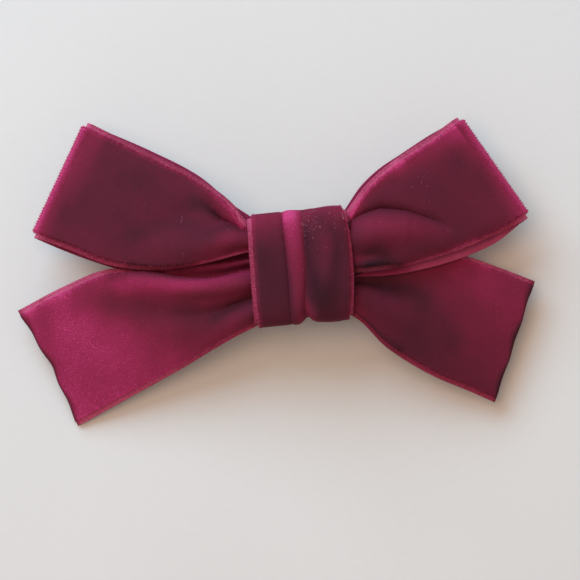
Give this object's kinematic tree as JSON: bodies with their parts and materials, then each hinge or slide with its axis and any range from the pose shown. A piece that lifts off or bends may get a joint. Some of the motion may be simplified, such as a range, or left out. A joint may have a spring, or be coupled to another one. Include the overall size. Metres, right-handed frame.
{
  "type": "barrette",
  "caption": "Velvet ribbon hair bow with loops and cut tails on an arched spring clip whose hinged clasp arm closes on a lock of hair.",
  "frame": {"origin": "under the middle of the bow, on the surface that the clip and the left tail's tip rest on", "axes": "+X along the clip from its hinge to its latch, +Y across the clip towards the loops, +Z away from the head, through the bow"},
  "size_m": [0.1027, 0.0612, 0.0216],
  "materials": {
    "velvet": "cut-pile velvet ribbon with woven selvages",
    "thread": "twisted polyester thread",
    "glue": "set hot-melt glue",
    "plated_steel": "pressed steel with bright nickel plate",
    "spring_steel": "nickel-plated spring steel"
  },
  "bodies": {
    "bow_and_base": {"loop_left": "velvet", "loop_right": "velvet", "tail_left": "velvet", "tail_right": "velvet", "gathered_middle": "velvet", "binding_thread": "thread", "knot_wrap": "velvet", "glue_bead": "glue", "base_plate": "plated_steel", "hinge_pin": "plated_steel", "latch_bridge": "spring_steel", "latch_rivet": "plated_steel"},
    "arm": {"clasp_arm": "plated_steel"},
    "bar": {"tension_bar": "spring_steel"},
    "prong_front": {"latch_prong_front": "spring_steel"},
    "prong_rear": {"latch_prong_rear": "spring_steel"}
  },
  "joints": [
    {"name": "clasp_swing", "type": "hinge", "parent": "bow_and_base", "child": "arm", "pos_m": [-0.0252, 0.0006, 0.0015], "axis": [0, 1, 0], "range_deg": [0, 105]},
    {"name": "bar_flex", "type": "slide", "parent": "bow_and_base", "child": "bar", "axis": [0, 0, 1], "range_m": [0, 0.0006], "stiffness_N_per_m": 200},
    {"name": "prong_front_squeeze", "type": "hinge", "parent": "bow_and_base", "child": "prong_front", "pos_m": [0.0333, -0.00125, 0.00858], "axis": [1, 0, 0], "range_deg": [0, 5], "stiffness_Nm_per_rad": 0.05},
    {"name": "prong_rear_squeeze", "type": "hinge", "parent": "bow_and_base", "child": "prong_rear", "pos_m": [0.0333, 0.00245, 0.00858], "axis": [1, 0, 0], "range_deg": [-5, 0], "stiffness_Nm_per_rad": 0.05}
  ],
  "couplings": [
    {"joint": "prong_rear_squeeze", "follows": "prong_front_squeeze", "ratio": -1}
  ]
}
